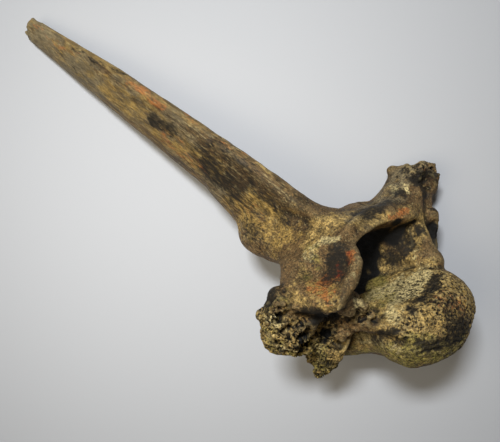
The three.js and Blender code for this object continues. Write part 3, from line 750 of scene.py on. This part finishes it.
def newMaterial(name):
    material = bpy.data.materials.new(name)
    material.use_nodes = True
    material.node_tree.nodes.clear()
    return material, *nodeMakers(material.node_tree)


def putShader(add, inputs):
    shader = add("ShaderNodeBsdfPrincipled", inputs)
    add("ShaderNodeOutputMaterial", {"Surface": shader.outputs["BSDF"]})


def newGroup(name, inputs):
    # a node group with one output, Mask; inputs go by name, each with its usual value, or None for a vector
    tree = bpy.data.node_groups.new(name, "ShaderNodeTree")
    for label, value in inputs.items():
        kind = "NodeSocketVector" if value is None else "NodeSocketFloat"
        socket = tree.interface.new_socket(label, in_out="INPUT", socket_type=kind)
        if value is not None:
            socket.default_value = value
    tree.interface.new_socket("Mask", in_out="OUTPUT", socket_type="NodeSocketFloat")
    add, maths, ramp = nodeMakers(tree)
    return tree, add, maths, ramp, add("NodeGroupInput").outputs


def speckleGroup():
    # stipple that thickens with Amount: none at 0, half covered at 0.5, full at 1
    tree, add, maths, ramp, given = newGroup("speckle", {
        "Vector": None, "Amount": .5, "Scale": 1000.0, "Spread": 1.5, "Softness": .25})
    grain = add("ShaderNodeTexNoise", {
        "Vector": given["Vector"], "Scale": given["Scale"], "Detail": 4.0, "Roughness": .62})
    spread = maths("MULTIPLY", maths("SUBTRACT", grain.outputs["Fac"], .5), given["Spread"])
    half = maths("MULTIPLY", given["Softness"], .5)
    mask = ramp(maths("ADD", spread, given["Amount"]), maths("SUBTRACT", .5, half), maths("ADD", .5, half),
                way="SMOOTHSTEP")
    # nothing at all where the amount is zero
    add("NodeGroupOutput", {"Mask": maths("MULTIPLY", mask, ramp(given["Amount"], 0.0, .08))})
    return tree


def poreGroup():
    # round holes strewn about, of which Share are open
    tree, add, maths, ramp, given = newGroup("pores", {
        "Vector": None, "Scale": 900.0, "Share": .5, "Radius": .35})
    drift = add("ShaderNodeTexNoise", {"Vector": given["Vector"], "Scale": given["Scale"], "Detail": 1.0})
    centred = add("ShaderNodeVectorMath", {0: drift.outputs["Color"], 1: (.5, .5, .5)},
                  operation="SUBTRACT")
    push = maths("DIVIDE", .9, given["Scale"])
    shift = add("ShaderNodeVectorMath", {0: centred.outputs["Vector"], "Scale": push}, operation="SCALE")
    place = add("ShaderNodeVectorMath", {0: given["Vector"], 1: shift.outputs["Vector"]})
    cells = add("ShaderNodeTexVoronoi", {"Vector": place.outputs["Vector"], "Scale": given["Scale"]})
    disc = ramp(cells.outputs["Distance"], maths("MULTIPLY", given["Radius"], .45), given["Radius"], 1.0, 0.0,
                "SMOOTHSTEP")
    chance = add("ShaderNodeSeparateColor", {"Color": cells.outputs["Color"]})
    opened = maths("LESS_THAN", chance.outputs[0], given["Share"])
    add("NodeGroupOutput", {"Mask": maths("MULTIPLY", disc, opened)})
    return tree


finish = {
    "tints": {
        "brown": "775c37", "brownDeep": "4b3920", "umber": "5e4b30", "tan": "ac8f54", "tanDeep": "715b30",
        "grey": "73664c", "ochre": "997c40", "green": "837a37", "rust": "a0622e", "red": "93300c",
        "stain": "1a150c", "crust": "c2b07c", "pit": "080603", "fleck": "d0bb82",
    },
    "coats": [      # region and tint, then scale, spread and softness of its stipple, and how much it covers
        ("grey", 350.0, 1.8, .7, 1.0), ("ochre", 420.0, 2.4, .6, .85), ("green", 300.0, 2.2, .6, .7),
        ("crust", 700.0, 1.9, .6, .9), ("rust", 560.0, 2.4, .5, .85),
    ],
    "stainCoats": [("stain", 380.0, 1.8, .5, .75), ("stain", 1000.0, 2.8, .6, .85)],
    "plainness": .5,               # how much speckle is left on the shaft of the spine
    "sandShade": .66,              # how far sand-sized grains lighten and darken
    "grainShade": (.76, 1.22),     # the same for grains three times as large, darkest and lightest
    "flecks": (1300.0, 2.4, .3, .45), "spots": (900.0, 2.4, .35, .8),      # stipple strewn everywhere
    "pores": [(820.0, .6, .5), (1450.0, .45, .5)],      # scale, share that is open, radius
    "roughness": (.62, .82), "streakShine": .22, "specular": .35,
    "bumpStrength": .9, "bumpDepth": .0004,
}


def boneMaterial():
    material, add, maths, ramp = newMaterial("fossilBone")
    speckle, pores = speckleGroup(), poreGroup()

    def region(label, output="Fac"):
        return add("ShaderNodeAttribute", attribute_name=label).outputs[output]

    def times(a, b):
        return maths("MULTIPLY", a, b)

    def moved(vector, **settings):
        return add("ShaderNodeMapping", {"Vector": vector, **settings}).outputs["Vector"]

    def over(share, under, top, way="MIX"):
        # one colour over another, each a node's output or the name of a tint
        under, top = (tint(finish["tints"][c]) if isinstance(c, str) else c for c in (under, top))
        return add("ShaderNodeMix", {0: share, 6: under, 7: top}, data_type="RGBA", blend_type=way).outputs[2]

    def stipple(amount, scale, spread, softness):
        return add("ShaderNodeGroup", {"Vector": place, "Amount": amount, "Scale": scale, "Spread": spread,
                                       "Softness": softness}, node_tree=speckle).outputs["Mask"]

    def holes(scale, share, radius):
        return add("ShaderNodeGroup", {"Vector": place, "Scale": scale, "Share": share, "Radius": radius},
                   node_tree=pores).outputs["Mask"]

    def cloud(vector, scale, detail, roughness):
        return add("ShaderNodeTexNoise", {"Vector": vector, "Scale": scale, "Detail": detail,
                                          "Roughness": roughness}).outputs["Fac"]

    def shaded(under, value):
        grey = add("ShaderNodeCombineColor", {0: value, 1: value, 2: value}).outputs[0]
        return over(1.0, under, grey, "MULTIPLY")

    def coated(under, coats):
        for label, scale, spread, softness, share in coats:
            under = over(times(stipple(region(label), scale, spread, softness), share), under, label)
        return under

    def strewn(under, amount, label, scale, spread, softness, share):
        return over(times(stipple(amount, scale, spread, softness), times(plain, share)), under, label)

    place, grainPlace = region("place", "Vector"), moved(region("grain", "Vector"), Scale=(.11, 1.0, 1.0))
    spine, shaft, porous, spongy = region("spine"), region("shaft"), region("porous"), region("spongy")
    pit, hollow, bulge = region("pit"), region("hollow"), region("bulge")
    plain = ramp(shaft, 0, 1, 1.0, finish["plainness"])
    streaks = cloud(grainPlace, 1000.0, 4.0, .65)
    broadStreaks = cloud(grainPlace, 240.0, 4.0, .6)
    longStreaks = cloud(moved(grainPlace, Location=(.4, .9, .2)), 330.0, 3.0, .6)
    mottle = cloud(place, 95.0, 5.0, .6)
    patches = cloud(moved(place, Location=(.7, .3, .1)), 60.0, 4.0, .6)
    fine = cloud(place, 1500.0, 3.0, .75)
    medium = cloud(place, 480.0, 4.0, .65)

    # bare bone: brown, streaked along the spine, tan where it is clean, then its coats
    brown = over(ramp(mottle, .4, .6), "brownDeep", "brown")
    brown = over(ramp(patches, .48, .66, 0, .6), brown, "umber")
    brown = over(times(spine, ramp(broadStreaks, .5, .62, 0, .8)), brown, "brownDeep")
    brown = over(times(shaft, ramp(longStreaks, .48, .62, 0, .65)), brown, "ochre")
    brown = over(times(spine, ramp(streaks, .54, .66, 0, .4)), brown, "crust")
    tan = over(ramp(medium, .38, .58), "tanDeep", "tan")
    ground = over(stipple(region("tan"), 320.0, 1.8, .5), brown, tan)
    ground = coated(ground, finish["coats"])

    # light and dark at the size of sand grains, then a painted highlight on what stands out and painted shade
    # in what sinks
    sand = ramp(fine, .38, .62, -finish["sandShade"], finish["sandShade"])
    ground = shaded(ground, maths("ADD", times(sand, plain), 1.0))
    ground = shaded(ground, ramp(medium, .36, .62, *finish["grainShade"]))
    highlightOnRidges = times(ramp(bulge, .15, 1.0, 0, .4), ramp(porous, 0, .6, .25, 1.0))
    ground = over(highlightOnRidges, ground, "fleck")
    # painted shade: the darkest stain colour laid in what sinks
    ground = over(ramp(bulge, -.06, -.8, 0, .9), ground, "stain")
    ground = strewn(ground, .2, "fleck", *finish["flecks"])

    # stains in stipple where the strokes are, then a little everywhere; red iron glows through them
    ground = coated(ground, finish["stainCoats"])
    ground = strewn(ground, .22, "stain", *finish["spots"])
    ground = over(times(ramp(region("rust"), .6, 1.0, 0, .9), ramp(medium, .44, .6)), ground, "red")

    # wear on the edges, then near-black painted in the pores and pits, and painted shade in the hollows
    ground = over(ramp(region("edge"), .5, 1.0, 0, .18), ground, "fleck")
    small = maths("MAXIMUM", *(holes(*row) for row in finish["pores"]))
    small = times(small, ramp(maths("MAXIMUM", porous, spongy), .2, .8))
    for blackening in (times(small, .82), ramp(hollow, .56, .84), ramp(pit, .25, .85)):
        ground = over(blackening, ground, "pit")

    shine = times(times(spine, streaks), finish["streakShine"])
    rough = maths("SUBTRACT", ramp(medium, .3, .7, *finish["roughness"]), shine, True)
    height = times(fine, ramp(spine, 0, 1, .8, .4))
    height = maths("ADD", height, times(medium, 1.1))
    height = maths("ADD", height, times(times(streaks, spine), .8))
    height = maths("SUBTRACT", height, times(small, 1.4))
    bump = add("ShaderNodeBump", {
        "Strength": finish["bumpStrength"], "Distance": finish["bumpDepth"], "Height": height})
    putShader(add, {"Base Color": ground, "Roughness": rough, "Normal": bump.outputs["Normal"],
                    "Specular IOR Level": finish["specular"]})
    return material


vertebra.data.materials.append(boneMaterial())
print("material ready")


# Floor, lights and camera

studio = {   # metres
    "floorSize": 5.0, "floorLines": 101, "floorFlat": .9, "floorRise": .8,
    # floorTint fading to floorFar round poolCentre paints a pool of light on the floor
    "floorTint": "d8dade", "floorFar": "94969a", "poolCentre": (-.025, -.002, 0), "poolReach": .245,
    "floorRough": .6, "floorSpecular": .25,
    "key": ((.02, .48, 1.05), (.26, .15), 11.6, (.94, .97, 1.0)),      # place, size, watts, colour
    "fill": ((-.45, -.05, .95), (.8, .8), 3.4, (1.0, .89, .7)),
    "worldTint": (1.0, .87, .68), "worldStrength": .105,
    "eye": (.0521, -.0104, .2674),
    "right": (.971, -.160, -.176), "up": (.152, .987, -.062),
    "lensPixels": 649.5, "framePixels": 500, "sensor": 36.0, "nearest": .01,
}


def makeFloor():
    # a square grid, level out to floorFlat from the middle, then rising as the square of the way beyond it
    size = studio["floorSize"]
    side = np.linspace(-size / 2, size / 2, studio["floorLines"])
    x, y = np.meshgrid(side, side, indexing="ij")
    z = studio["floorRise"] * np.maximum(np.hypot(x, y) - studio["floorFlat"], 0) ** 2
    points = np.stack([x.ravel(), y.ravel(), z.ravel()], -1)
    number = np.arange(x.size).reshape(x.shape)
    quads = np.stack([number[:-1, :-1], number[1:, :-1], number[1:, 1:], number[:-1, 1:]], -1)
    floor = meshObject("tableTop", points, quads.reshape(-1, 4), {})
    material, add, _, ramp = newMaterial("tableWhite")
    # painted light: the floor's colour darkens from floorTint at poolCentre out to floorFar at poolReach, a
    # painted pool of light
    place = add("ShaderNodeTexCoord").outputs["Object"]
    away = add("ShaderNodeVectorMath", {0: place, 1: studio["poolCentre"]}, operation="DISTANCE")
    share = ramp(away.outputs["Value"], 0.0, studio["poolReach"], way="SMOOTHSTEP")
    paintedLightPool = add("ShaderNodeMix", {0: share, 6: tint(studio["floorTint"]), 7: tint(studio["floorFar"])},
               data_type="RGBA")
    putShader(add, {"Base Color": paintedLightPool.outputs[2], "Roughness": studio["floorRough"],
                    "Specular IOR Level": studio["floorSpecular"]})
    floor.data.materials.append(material)


def areaLight(name, place, size, power, colour):
    # a rectangle of light that faces the origin
    data = bpy.data.lights.new(name, "AREA")
    data.shape = "RECTANGLE"
    data.size, data.size_y = size
    data.energy = power
    data.color = colour
    lamp = newObject(name, data)
    lamp.location = place
    lamp.rotation_mode = "QUATERNION"
    lamp.rotation_quaternion = (-Vector(place)).to_track_quat("-Z", "Y")


def makeLight():
    for name in ("key", "fill"):
        areaLight(name, *studio[name])
    world = bpy.data.worlds.new("room")
    world.use_nodes = True
    background = world.node_tree.nodes["Background"]
    background.inputs["Color"].default_value = (*studio["worldTint"], 1)
    background.inputs["Strength"].default_value = studio["worldStrength"]
    bpy.context.scene.world = world
    bpy.context.scene.view_settings.view_transform = "Standard"


def makeCamera():
    data = bpy.data.cameras.new("camera")
    data.sensor_width = studio["sensor"]
    data.lens = studio["lensPixels"] / studio["framePixels"] * studio["sensor"]
    data.clip_start = studio["nearest"]
    camera = newObject("camera", data)
    right = unit(studio["right"])
    up = squareTo(studio["up"], right)
    turn = Matrix(np.stack([right, up, np.cross(right, up)], -1)).to_4x4()
    camera.matrix_world = Matrix.Translation(studio["eye"]) @ turn
    bpy.context.scene.camera = camera


makeFloor()
makeLight()
makeCamera()
print("stage ready")
